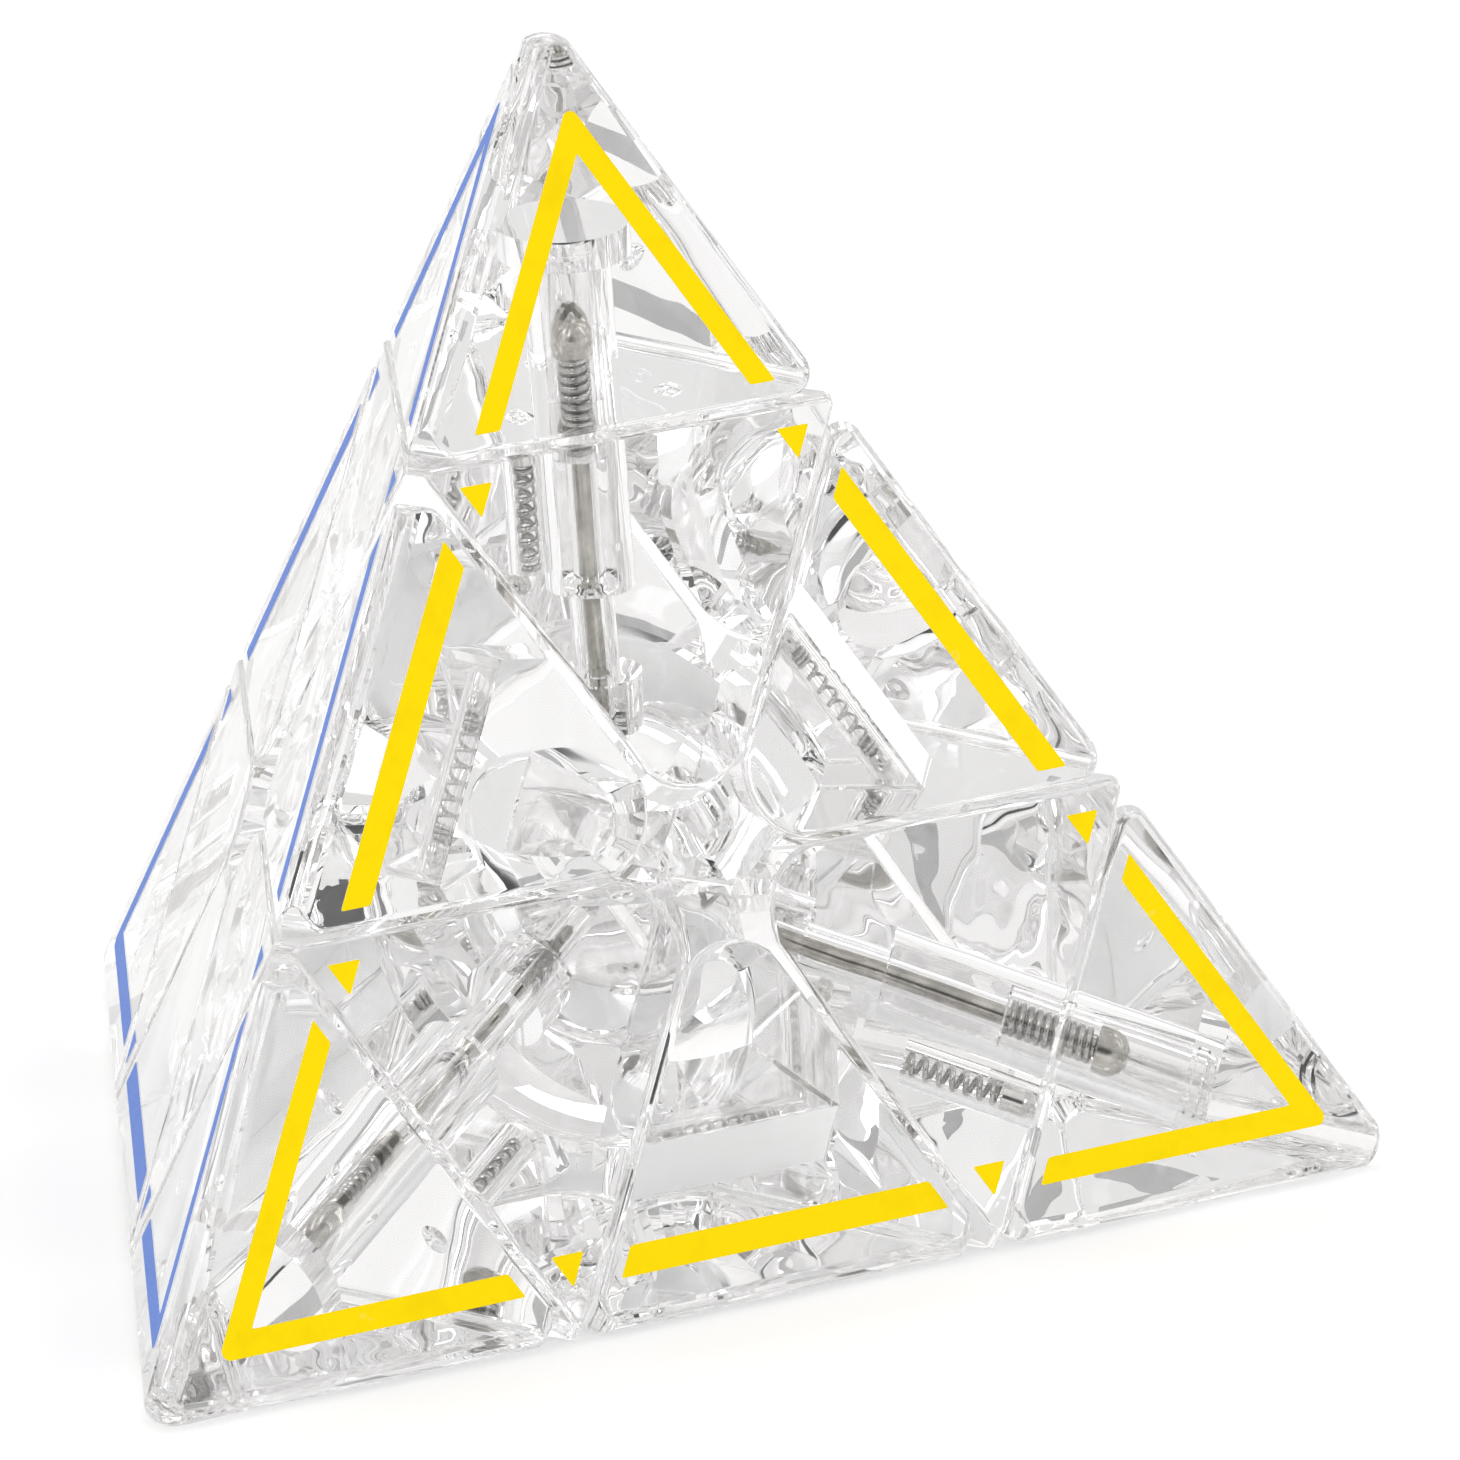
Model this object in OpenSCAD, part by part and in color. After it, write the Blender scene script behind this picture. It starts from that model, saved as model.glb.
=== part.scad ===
// Clear pyramid twisty puzzle: four tips, four axial pieces and six edge pieces
// on a sprung core, with inlaid outline strips in one colour per face.
// Frame: millimetres, origin at the centre of the core, where the four turning
// axes meet. +Z points to the top corner, and the puzzle rests on z = -face_distance.

/* [Pyramid] */
// Height of the pyramid between its base and its sharp top corner
pyramid_height = 80; // [78:1:84]
// Radius of the rounding along the long edges
edge_rounding = 1.4; // [1.2:0.1:1.8]
// Radius of the rounding of each piece where six pieces meet on a face
centre_rounding = 4.8; // [3.5:0.1:5.2]
// Distance from the centre to the cut under each tip
tip_cut = 32.6; // [32:0.1:33.2]
// Half of the gap between neighbouring pieces
half_gap = 0.15; // [0.1:0.01:0.18]

/* [Mechanism] */
// Radius of the core ball
core_r = 10.6; // [10:0.1:11]
// Radius of the sphere that parts the hidden feet from the outer pieces
shell_r = 17; // [16.5:0.1:17.2]
// Distance from the centre to the cuts between the hidden feet
foot_cut = 4; // [3.8:0.1:4.4]
// Distance from the centre to the end of each core arm
arm_end = 13.7; // [13:0.1:14.5]
// Radius of each core arm
arm_r = 3; // [2.8:0.1:3.2]
// Radial clearance of the turning fits
running_gap = 0.05; // [0.03:0.01:0.1]

/* [Axis hardware] */
// Radius of the axis screws
screw_r = 1; // [0.9:0.05:1.1]
// Radius of the screw heads
screw_head_r = 2.35; // [2.2:0.05:2.4]
// Outer radius of the axle sleeves
sleeve_r = 3.1; // [3:0.05:3.3]
// Inner end of each axle sleeve
sleeve_start = 19.8; // [19:0.1:20.5]
// Outer end of each axle sleeve
sleeve_end = 43.8; // [43:0.1:44]
// Seat of the axis spring inside the sleeve
spring_seat = 28.5; // [28:0.1:29.2]
// Underside of the screw head
head_seat = 35.3; // [34.8:0.1:35.8]

/* [Clicks] */
// Radius of the balls that click the edge pieces
edge_ball_r = 1; // [0.8:0.05:1.1]
// Distance from the centre to the line of each edge spring
edge_spring_at = 20.3; // [19.8:0.1:20.6]
// Radius of the domed pins that click the tips
click_pin_r = 1.4; // [1.2:0.05:1.5]
// Distance of each tip's click pin from its turning axis
click_pin_at = 6.5; // [6:0.1:6.8]

/* [Edge piece feet] */
// Distance from the centre to the top of the stem of each edge foot
stem_top = 22.5; // [22:0.1:23]
// Half of the width of the stem
stem_half_width = 2.8; // [2.5:0.1:3]

/* [Strips] */
// Inset of the strips from the long edges
strip_inset = 3.82; // [3.5:0.02:4.2]
// Width of the strips
strip_width = 1.91; // [1.6:0.01:2.2]
// Thickness of the strips
strip_thickness = 0.2; // [0.15:0.01:0.3]

/* [Hidden] */
$fn = 48;

// Distances and angles of a regular tetrahedron
corner_distance = pyramid_height * 3 / 4;
face_distance = pyramid_height / 4;
edge_distance = corner_distance / sqrt(3);
face_inradius = pyramid_height * sqrt(3 / 2) / (2 * sqrt(3));
face_angle = 54.7356;
slope = sqrt(8) / 3;
layer_cut = corner_distance / 9;

// Corner directions, and the edges as pairs of corners: the first carries the edge piece
function corner_towards(azimuth) = [slope * cos(azimuth), slope * sin(azimuth), -1 / 3];
CORNERS = [[0, 0, 1], corner_towards(210), corner_towards(330), corner_towards(90)];
CORNER_NAMES = ["top", "left", "right", "back"];
EDGES = [[0, 1], [0, 2], [0, 3], [1, 2], [2, 3], [3, 1]];
function edge_name(e) = str(CORNER_NAMES[EDGES[e][0]], "_", CORNER_NAMES[EDGES[e][1]]);
function other_corners(used) = [for (c = [0 : 3]) if (len(search(c, used)) == 0) c];
CORNER_IDS = [0 : 3];
EDGE_IDS = [0 : 5];
// The corner that each corner's click pin lies towards
CLICK_TOWARDS = [1, 2, 1, 0];

// Strip colour of the face opposite each corner
STRIP_COLOURS = ["limegreen", "crimson", "cornflowerblue", "gold"];
CLEAR = [0.85, 0.89, 0.92, 0.45];
STEEL = [0.62, 0.64, 0.67];

// ---- Vectors and frames ----

function unit(v) = v / norm(v);
// Direction of v seen flat on a plane whose normal is n
function flat_on(n, v) = unit(v - (v * n) * n);
function in_face(distance) = (distance - layer_cut) / slope;
// Crossing of the lines a.p = p_a and b.p = p_b in a plane
function crossing(a, p_a, b, p_b) =
    let (det = a.x * b.y - a.y * b.x)
    [(p_a * b.y - p_b * a.y) / det, (a.x * p_b - b.x * p_a) / det];

module frame(origin, x, z) {
    y = cross(z, x);
    multmatrix([
        [x.x, y.x, z.x, origin.x],
        [x.y, y.y, z.y, origin.y],
        [x.z, y.z, z.z, origin.z],
        [0, 0, 0, 1]
    ]) children();
}

// Z out along the turning axis of a corner, X towards its click pin
module on_axis(corner)
    frame([0, 0, 0], flat_on(CORNERS[corner], CORNERS[CLICK_TOWARDS[corner]]), CORNERS[corner])
        children();

// Z out of the face opposite a corner, X along the given direction on the face
module on_face(opposite, towards)
    frame(-face_distance * CORNERS[opposite], flat_on(CORNERS[opposite], towards),
        -CORNERS[opposite])
        children();

// X out through the middle of an edge, Z along the edge from corner b to corner a
module on_edge(a, b)
    frame([0, 0, 0], unit(CORNERS[a] + CORNERS[b]), unit(CORNERS[a] - CORNERS[b])) children();

// ---- Cutting solids ----

reach = 110;
// How far cutting solids stick out of what they cut
overshoot = 1;
// Everything farther than distance along a direction
module beyond(dir, distance)
    rotate([0, acos(dir.z), atan2(dir.y, dir.x)])
        translate([-reach, -reach, distance]) cube(2 * reach);

// Everything nearer than distance along a direction
module short_of(dir, distance) beyond(-dir, -distance);

// Outline of what five facets cut off a corner whose sides face -span and span. The corner
// points along X when towards is 1, and against it when towards is -1.
BEND_STEPS = [1.5, 0.5, -0.5, -1.5];
function rounding_points(centre, radius, span, towards) =
    let (
        step = span / 3,
        r = radius / cos(step / 2),
        bend = [for (k = BEND_STEPS) [centre + towards * r * cos(k * step), r * sin(k * step)]],
        side = 2 * radius * [-towards * sin(2 * step), cos(2 * step)],
        far = centre + 3 * radius * towards,
        half_width = 2.5 * radius
    )
    concat([bend[0] + side], bend, [bend[3] + [side.x, -side.y]],
        [[far, -half_width], [far, half_width]]);

// What rounding takes off a long edge
module nose(a, b)
    on_edge(a, b)
        linear_extrude(2 * corner_distance, center = true)
            polygon(rounding_points(edge_distance - sqrt(3) * edge_rounding, edge_rounding,
                face_angle, 1));

// What rounding takes off a piece at the middle of a face
centre_rounding_depth = 12;
module centre_corner(opposite, towards)
    on_face(opposite, towards)
        translate([0, 0, -centre_rounding_depth])
            linear_extrude(centre_rounding_depth + overshoot)
                polygon(rounding_points(2 * centre_rounding, centre_rounding, 60, -1));

// What rounding takes off the point of a tip: a ball that touches its three rounded edges
point_r = 2.4;
point_centre = corner_distance - 3 * edge_rounding - sqrt(3) * (point_r - edge_rounding);
module point(corner)
    difference() {
        beyond(CORNERS[corner], point_centre + point_r / sqrt(3));
        on_axis(corner) translate([0, 0, point_centre]) rotate([0, 90, 0]) sphere(point_r);
    }

inner_shell_r = core_r + 0.2;
foot_shell_r = shell_r - half_gap;
outer_shell_r = shell_r + half_gap;

// ---- Springs and screws ----

// A coil spring along Z, as one closed body with a bulge for each turn
module coil_spring(length, outer_r, wire_r, turns) {
    pitch = (length - 2 * wire_r) / (turns - 1);
    web = 0.7 * wire_r;
    rotate_extrude()
        union() {
            for (turn = [0 : turns - 1])
                translate([outer_r - wire_r, wire_r + turn * pitch]) circle(wire_r);
            translate([outer_r - wire_r - web / 2, wire_r]) square([web, length - 2 * wire_r]);
        }
}

screw_start = 4.6;
screw_point = 1.6;
head_rim = 0.9;
head_dome = 1.5;
head_top = head_seat + head_rim + head_dome;
recess_depth = 1.1;
recess_width = 0.6;
recess_length = 2.4;
module axis_screw() {
    dome = [for (a = [0 : 15 : 90]) [screw_head_r * cos(a), head_seat + head_rim + head_dome * sin(a)]];
    difference() {
        rotate_extrude()
            polygon(concat(
                [[0, screw_start], [screw_r / 3, screw_start], [screw_r, screw_start + screw_point],
                    [screw_r, head_seat], [screw_head_r, head_seat]],
                dome));
        for (turn = [0, 90])
            rotate(turn)
                translate([-recess_length / 2, -recess_width / 2, head_top - recess_depth])
                    cube([recess_length, recess_width, 2 * recess_depth]);
    }
}

module axis_screws()
    color(STEEL)
        for (c = CORNER_IDS) on_axis(c) axis_screw();

axis_spring_r = 1.85;
axis_spring_wire_r = 0.25;
axis_spring_turns = 10;
module axis_springs()
    color(STEEL)
        for (c = CORNER_IDS)
            on_axis(c)
                translate([0, 0, spring_seat])
                    coil_spring(head_seat - spring_seat, axis_spring_r, axis_spring_wire_r,
                        axis_spring_turns);

// ---- Core and sleeves ----

screw_hole_gap = 0.01;
screw_hole_start = screw_start - 0.4;
module core_spider()
    color(CLEAR)
        difference() {
            union() {
                sphere(core_r);
                for (c = CORNER_IDS) on_axis(c) cylinder(h = arm_end, r = arm_r);
            }
            for (c = CORNER_IDS)
                on_axis(c)
                    translate([0, 0, screw_hole_start])
                        cylinder(h = arm_end, r = screw_r + screw_hole_gap);
        }

shank_gap = 0.1;
head_room_r = 2.5;
snap_start = 42.2;
snap_height = 1;
snap_r = 3.45;
module axle_sleeves()
    color(CLEAR)
        for (c = CORNER_IDS)
            on_axis(c)
                difference() {
                    union() {
                        translate([0, 0, sleeve_start])
                            cylinder(h = sleeve_end - sleeve_start, r = sleeve_r);
                        translate([0, 0, snap_start]) cylinder(h = snap_height, r = snap_r);
                    }
                    translate([0, 0, sleeve_start - overshoot])
                        cylinder(h = reach, r = screw_r + shank_gap);
                    translate([0, 0, spring_seat]) cylinder(h = reach, r = head_room_r);
                }

// ---- Strips ----

band_inner = face_inradius - strip_inset - strip_width;
band_outer = face_inradius - strip_inset;
tip_line = in_face(tip_cut);
tip_strip_margin = 1.55;
tip_strip_trim = 0.13;
axial_strip_side_margin = 1.62;
axial_strip_tip_margin = 1.5;
axial_strip_extra = 0.28;
edge_strip_margin = 1.5;
strip_corner_r = 0.6;

// A V along two long edges, with a round outer corner and a sharp inner one
module tip_outline() {
    start = tip_line + tip_strip_margin;
    inner = 2 * (band_inner + tip_strip_trim);
    outer = 2 * (band_outer - tip_strip_trim);
    inner_half = (inner - start) * tan(30);
    outer_half = (outer - start) * tan(30);
    round_at = outer - 2 * strip_corner_r;
    bend = [for (a = [-60 : 20 : 60]) [round_at + strip_corner_r * cos(a), strip_corner_r * sin(a)]];
    polygon(concat(
        [[start, inner_half], [inner, 0], [start, -inner_half], [start, -outer_half]],
        bend,
        [[start, outer_half]]));
}

// The small triangle beside a tip where the outline crosses an axial piece
module axial_outline(side) {
    up = [1, 0];
    over = [-1 / 2, side * sqrt(3) / 2];
    band = [1 / 2, side * sqrt(3) / 2];
    top = tip_line - axial_strip_tip_margin;
    inner = band_inner - axial_strip_extra;
    polygon([
        crossing(up, top, over, -axial_strip_side_margin),
        crossing(up, top, band, inner),
        crossing(band, inner, over, -axial_strip_side_margin)
    ]);
}

// A bar with slanted ends along the middle of a long edge
module edge_outline() {
    function half(at) = (at / 2 - edge_strip_margin) / cos(30);
    polygon([[band_inner, half(band_inner)], [band_inner, -half(band_inner)],
        [band_outer, -half(band_outer)], [band_outer, half(band_outer)]]);
}

// A strip, or the pocket that it lies in, which is a little deeper and open above
pocket_room = 0.01;
module inlay(pocket = false)
    translate([0, 0, -strip_thickness - (pocket ? pocket_room : 0)])
        linear_extrude(strip_thickness + (pocket ? overshoot : 0)) children();

module tip_inlays(c, pocket = false)
    for (face = other_corners([c]))
        color(STRIP_COLOURS[face]) on_face(face, CORNERS[c]) inlay(pocket) tip_outline();

module axial_inlays(c, pocket = false)
    for (face = other_corners([c]), side = [-1, 1])
        color(STRIP_COLOURS[face]) on_face(face, CORNERS[c]) inlay(pocket) axial_outline(side);

module edge_inlays(a, b, pocket = false)
    for (face = other_corners([a, b]))
        color(STRIP_COLOURS[face])
            on_face(face, CORNERS[a] + CORNERS[b]) inlay(pocket) edge_outline();

// ---- Tips ----

click_gap = 0.1;
tip_dimple_r = 1.5;
tip_blank = 1.2 * corner_distance;
dimple_depth = 0.45;
snap_room_r = 4.7;
snap_room_start = 41.9;
snap_room_end = 43.95;
tip_click_turns = [0, 120, 240];

module at_click_pin() translate([click_pin_at, 0, 0]) children();

module tip(c)
    color(CLEAR)
        difference() {
            translate(corner_distance / 2 * CORNERS[c]) cube(tip_blank, center = true);
            short_of(CORNERS[c], tip_cut + half_gap);
            for (face = other_corners([c])) {
                beyond(-CORNERS[face], face_distance);
                nose(c, face);
            }
            point(c);
            on_axis(c) {
                cylinder(h = snap_room_start + overshoot / 2, r = sleeve_r + running_gap);
                translate([0, 0, snap_room_start])
                    cylinder(h = snap_room_end - snap_room_start, r = snap_room_r);
                for (turn = tip_click_turns)
                    rotate(turn) at_click_pin()
                        translate([0, 0, tip_cut + half_gap + dimple_depth - tip_dimple_r])
                            sphere(tip_dimple_r);
            }
            tip_inlays(c, pocket = true);
        }

// ---- Axial pieces ----

axial_blank = 1.5 * corner_distance;
shank_room_r = 1.6;
arm_room = 0.2;
pin_straight = 1.5;
click_pin_shoulder = tip_cut - click_pin_r;
click_pin_start = click_pin_shoulder - pin_straight;
click_spring_start = 22.6;
click_spring_r = click_pin_r - 0.15;
click_spring_wire_r = 0.22;
click_spring_turns = 8;

// Centre of an edge ball, along the edge from its middle
edge_ball_along = (edge_spring_at / sqrt(3) - layer_cut - edge_ball_r) / sqrt(2 / 3);
edge_dimple_r = 1.2;
// Dimple for the ball of edge piece (c, other), in the face of axial piece c
module edge_dimple(c, other) {
    ball = edge_spring_at * unit(CORNERS[c] + CORNERS[other])
        + edge_ball_along * unit(CORNERS[c] - CORNERS[other]);
    above = layer_cut - half_gap + edge_dimple_r - dimple_depth;
    translate(ball + (above - ball * CORNERS[other]) * CORNERS[other]) sphere(edge_dimple_r);
}

module axial(c)
    color(CLEAR)
        difference() {
            translate(corner_distance / 3 * CORNERS[c]) cube(axial_blank, center = true);
            short_of(CORNERS[c], foot_cut + half_gap);
            beyond(CORNERS[c], tip_cut - half_gap);
            for (other = other_corners([c])) {
                beyond(-CORNERS[other], face_distance);
                beyond(CORNERS[other], layer_cut - half_gap);
                nose(c, other);
                centre_corner(other, CORNERS[c]);
                intersection() {
                    beyond(CORNERS[other], foot_cut - half_gap);
                    sphere(outer_shell_r);
                }
                edge_dimple(c, other);
            }
            difference() {
                short_of(CORNERS[c], layer_cut + half_gap);
                sphere(foot_shell_r);
            }
            sphere(inner_shell_r);
            on_axis(c) {
                cylinder(h = arm_end + arm_room, r = arm_r + 2 * running_gap);
                cylinder(h = reach, r = shank_room_r);
                translate([0, 0, sleeve_start - running_gap])
                    cylinder(h = reach, r = sleeve_r + running_gap);
                at_click_pin()
                    translate([0, 0, click_spring_start])
                        cylinder(h = reach, r = click_pin_r + click_gap);
            }
            axial_inlays(c, pocket = true);
        }

module click_spring(c)
    color(STEEL)
        on_axis(c) at_click_pin()
            translate([0, 0, click_spring_start])
                coil_spring(click_pin_start - click_spring_start, click_spring_r,
                    click_spring_wire_r, click_spring_turns);

module click_pin(c) {
    dome = [for (a = [0 : 10 : 90]) [click_pin_r * cos(a), click_pin_shoulder + click_pin_r * sin(a)]];
    color(STEEL)
        on_axis(c) at_click_pin()
            rotate_extrude()
                polygon(concat([[0, click_pin_start], [click_pin_r, click_pin_start]], dome));
}

// ---- Edge pieces ----

stem_start = 13;
stem_gap = 0.05;
cap_length = 1.2 * edge_distance;
cap_width = 60;

// The wedge between the layer cuts of two corners, moved out by half a gap
module outside_layers(a, b, cut) {
    short_of(CORNERS[a], cut + half_gap);
    short_of(CORNERS[b], cut + half_gap);
}

module stem(a, b, gap)
    difference() {
        on_edge(a, b)
            translate([stem_start, -stem_half_width - gap, -stem_top])
                cube([stem_top + gap - stem_start, 2 * (stem_half_width + gap), 2 * stem_top]);
        if (gap == 0) outside_layers(a, b, layer_cut);
    }

module edge_cap(a, b)
    color(CLEAR)
        difference() {
            on_edge(a, b)
                translate([edge_distance / 2, 0, 0])
                    cube([cap_length, cap_width, cap_width], center = true);
            outside_layers(a, b, layer_cut);
            beyond(CORNERS[a], tip_cut - half_gap);
            beyond(CORNERS[b], tip_cut - half_gap);
            for (face = other_corners([a, b])) {
                beyond(-CORNERS[face], face_distance);
                centre_corner(face, CORNERS[a] + CORNERS[b]);
            }
            nose(a, b);
            sphere(outer_shell_r);
            stem(a, b, stem_gap);
            edge_inlays(a, b, pocket = true);
        }

module edge_foot(a, b)
    color(CLEAR)
        difference() {
            union() {
                difference() {
                    on_edge(a, b) rotate(140) sphere(foot_shell_r);
                    on_edge(a, b) rotate(140) sphere(inner_shell_r);
                    outside_layers(a, b, foot_cut);
                    for (face = other_corners([a, b])) beyond(CORNERS[face], foot_cut - half_gap);
                }
                stem(a, b, 0);
            }
            on_edge(a, b)
                translate([edge_spring_at, 0, 0]) rotate(30)
                    cylinder(h = 2 * stem_top, r = edge_ball_r + click_gap, center = true);
        }

edge_spring_r = edge_ball_r - 0.05;
edge_spring_wire_r = 0.17;
edge_spring_turns = 13;
spring_bite = 0.02;
// From an edge ball's centre down to the end of the spring that touches it
edge_coil_r = edge_spring_r - edge_spring_wire_r;
ball_contact = sqrt(pow(edge_ball_r + edge_spring_wire_r, 2) - pow(edge_coil_r, 2))
    - edge_spring_wire_r + spring_bite;
edge_spring_half = edge_ball_along - ball_contact;
module edge_spring(a, b)
    color(STEEL)
        on_edge(a, b)
            translate([edge_spring_at, 0, -edge_spring_half])
                coil_spring(2 * edge_spring_half, edge_spring_r, edge_spring_wire_r,
                    edge_spring_turns);

module edge_balls(a, b)
    color(STEEL)
        on_edge(a, b)
            for (side = [-1, 1])
                translate([edge_spring_at, 0, side * edge_ball_along]) sphere(edge_ball_r);

// ---- Nodes ----

core_spider();
axis_screws();
axis_springs();
axle_sleeves();
for (c = CORNER_IDS) {
    name = CORNER_NAMES[c];
    axial(c);
    click_spring(c);
    click_pin(c);
    axial_inlays(c);
    tip(c);
    tip_inlays(c);
}
for (e = EDGE_IDS) {
    name = edge_name(e);
    a = EDGES[e][0];
    b = EDGES[e][1];
    edge_cap(a, b);
    edge_foot(a, b);
    edge_spring(a, b);
    edge_balls(a, b);
    edge_inlays(a, b);
}
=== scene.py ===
"""Looks of the clear pyramid twisty puzzle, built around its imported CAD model."""
import math

import bmesh
import bpy
from mathutils import Matrix, Vector


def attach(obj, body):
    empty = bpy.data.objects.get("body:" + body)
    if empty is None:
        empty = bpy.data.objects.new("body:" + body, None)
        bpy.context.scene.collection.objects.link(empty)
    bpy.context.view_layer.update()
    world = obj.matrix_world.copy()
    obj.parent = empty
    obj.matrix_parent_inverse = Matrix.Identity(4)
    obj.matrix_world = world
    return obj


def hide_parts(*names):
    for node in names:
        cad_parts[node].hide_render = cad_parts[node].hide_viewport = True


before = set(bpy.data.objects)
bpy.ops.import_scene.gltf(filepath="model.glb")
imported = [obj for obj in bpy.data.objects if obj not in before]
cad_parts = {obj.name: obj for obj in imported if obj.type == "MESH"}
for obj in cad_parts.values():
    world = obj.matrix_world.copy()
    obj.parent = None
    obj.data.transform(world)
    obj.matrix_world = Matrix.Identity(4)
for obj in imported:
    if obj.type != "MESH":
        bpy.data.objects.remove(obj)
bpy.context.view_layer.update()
scene = bpy.context.scene
MM = 0.001

# ---- Camera ----

IMAGE = 1460
AZIMUTH, ELEVATION, ROLL = map(math.radians, (-32.892, 17.405, -0.453))
DISTANCE = 1.0918
FOCAL_PIXELS = 17075
CENTRE_AT = (550.6, 888.3)
SENSOR = 36
CLIP = (0.1, 20)


def make_camera():
    """A long lens where the photographer stood, turned so that the core sits at CENTRE_AT."""
    back = Vector((math.sin(AZIMUTH) * math.cos(ELEVATION), -math.cos(AZIMUTH) * math.cos(ELEVATION),
                   math.sin(ELEVATION)))
    level = Vector((math.cos(AZIMUTH), math.sin(AZIMUTH), 0))
    rise = back.cross(level)
    right = level * math.cos(ROLL) + rise * math.sin(ROLL)
    up = back.cross(right)
    facing = Matrix((right, up, back)).transposed()
    offset = Vector((CENTRE_AT[0] - IMAGE / 2, IMAGE / 2 - CENTRE_AT[1], -FOCAL_PIXELS))
    turn = offset.rotation_difference(Vector((0, 0, -1))).to_matrix()
    data = bpy.data.cameras.new("camera")
    data.sensor_width = SENSOR
    data.lens = SENSOR * FOCAL_PIXELS / IMAGE
    data.clip_start, data.clip_end = CLIP
    camera = bpy.data.objects.new("camera", data)
    camera.matrix_world = Matrix.Translation(back * DISTANCE) @ (facing @ turn).to_4x4()
    scene.collection.objects.link(camera)
    scene.camera = camera


make_camera()

# ---- Directions and frames of the pyramid, in millimetres ----

FACE_DISTANCE = 20
CORNER_DISTANCE = 60
LAYER_CUT = CORNER_DISTANCE / 9
TIP_CUT = 32.6
HALF_GAP = 0.15
SLOPE = math.sqrt(8) / 3
CORNER_NAMES = ("top", "left", "right", "back")
# The corner that each corner's click pin lies towards
CLICK_TOWARDS = (1, 2, 1, 0)


def corner_towards(azimuth):
    """The direction from the middle to a lower corner."""
    a = math.radians(azimuth)
    return Vector((SLOPE * math.cos(a), SLOPE * math.sin(a), -1 / 3))


CORNERS = [Vector((0, 0, 1)), corner_towards(210), corner_towards(330), corner_towards(90)]
EDGES = [(0, 1), (0, 2), (0, 3), (1, 2), (2, 3), (3, 1)]


def edge_name(edge):
    return f"{CORNER_NAMES[edge[0]]}_{CORNER_NAMES[edge[1]]}"


def others(used):
    """The corners that aren't in used, which are also the faces that meet there."""
    return [c for c in range(4) if c not in used]


def flat_on(normal, v):
    """The direction of v along the plane with this normal."""
    return (v - v.dot(normal) * normal).normalized()


def frame_of(origin, x, z):
    """A placing matrix from an origin and the X and Z directions."""
    y = z.cross(x)
    m = Matrix((x, y, z)).transposed().to_4x4()
    m.translation = origin
    return m


def axis_frame(corner):
    """Z out along the turning axis of a corner, X towards its click pin."""
    return frame_of(Vector(), flat_on(CORNERS[corner], CORNERS[CLICK_TOWARDS[corner]]), CORNERS[corner])


def edge_frame(edge):
    """X out through the middle of an edge, Z along it."""
    a, b = (CORNERS[c] for c in edge)
    return frame_of(Vector(), (a + b).normalized(), (a - b).normalized())


def face_frame(opposite, towards):
    """Z out of the face opposite a corner, X along a direction on the face."""
    n = CORNERS[opposite]
    return frame_of(-FACE_DISTANCE * n, flat_on(n, towards), -n)


# Each kind of piece is made once, in the frame of the first of its kind
AXIS_LOCAL = [axis_frame(0).inverted() @ c for c in CORNERS]
EDGE_LOCAL = [edge_frame(EDGES[0]).inverted() @ c for c in CORNERS]

# ---- Solids ----

BIG = 400
CUT_TOLERANCE = 1e-5
SAME_POINT = 1e-3
FLAT_ENOUGH = math.radians(0.5)
LEAST_BEND = math.radians(24)
SHARP = math.radians(33)
FLAT_WEIGHT = 60
# Steps in the rounding of an edge: small ones, long outer ones, their ends, and corners at a face's middle
ROUND_STEPS, NOSE_STEPS, NOTCH_STEPS, CENTRE_STEPS = 4, 7, 6, 10


def polyhedron(planes, bm=None):
    """What is left of bm, or of a big cube, behind each plane (normal, distance)."""
    if bm is None:
        bm = bmesh.new()
        bmesh.ops.create_cube(bm, size=BIG)
    for normal, distance in planes:
        n = Vector(normal).normalized()
        cut = bmesh.ops.bisect_plane(bm, geom=bm.verts[:] + bm.edges[:] + bm.faces[:],
                                     dist=CUT_TOLERANCE, plane_co=n * distance, plane_no=n,
                                     clear_outer=True)
        rim = [g for g in cut["geom_cut"] if isinstance(g, bmesh.types.BMEdge)]
        if rim:
            bmesh.ops.edgeloop_fill(bm, edges=rim)
    bmesh.ops.recalc_face_normals(bm, faces=bm.faces)
    return bm


def ball(radius, at=(0, 0, 0), segments=72):
    bm = bmesh.new()
    bmesh.ops.create_uvsphere(bm, u_segments=segments, v_segments=segments // 2, radius=radius,
                              matrix=Matrix.Translation(at))
    return bm


def cylinder(radius, start, end, at=(0, 0), segments=64):
    bm = bmesh.new()
    middle = (at[0], at[1], (start + end) / 2)
    bmesh.ops.create_cone(bm, cap_ends=True, segments=segments, radius1=radius, radius2=radius,
                          depth=end - start, matrix=Matrix.Translation(middle))
    return bm


def prism(points, start, end):
    """A polygon in XY drawn up from start to end."""
    bm = bmesh.new()
    rings = [[bm.verts.new((x, y, z)) for x, y in points] for z in (start, end)]
    bm.faces.new(list(reversed(rings[0])))
    bm.faces.new(rings[1])
    for i in range(len(points)):
        j = (i + 1) % len(points)
        bm.faces.new((rings[0][i], rings[0][j], rings[1][j], rings[1][i]))
    bmesh.ops.recalc_face_normals(bm, faces=bm.faces)
    return bm


def loose(bm):
    """A temporary object that holds bm, which it frees."""
    mesh = bpy.data.meshes.new("temporary")
    bm.to_mesh(mesh)
    bm.free()
    made = bpy.data.objects.new("temporary", mesh)
    scene.collection.objects.link(made)
    return made


def evaluated(made):
    """The mesh of an object after its modifiers."""
    return bpy.data.meshes.new_from_object(made.evaluated_get(bpy.context.evaluated_depsgraph_get()))


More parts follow.
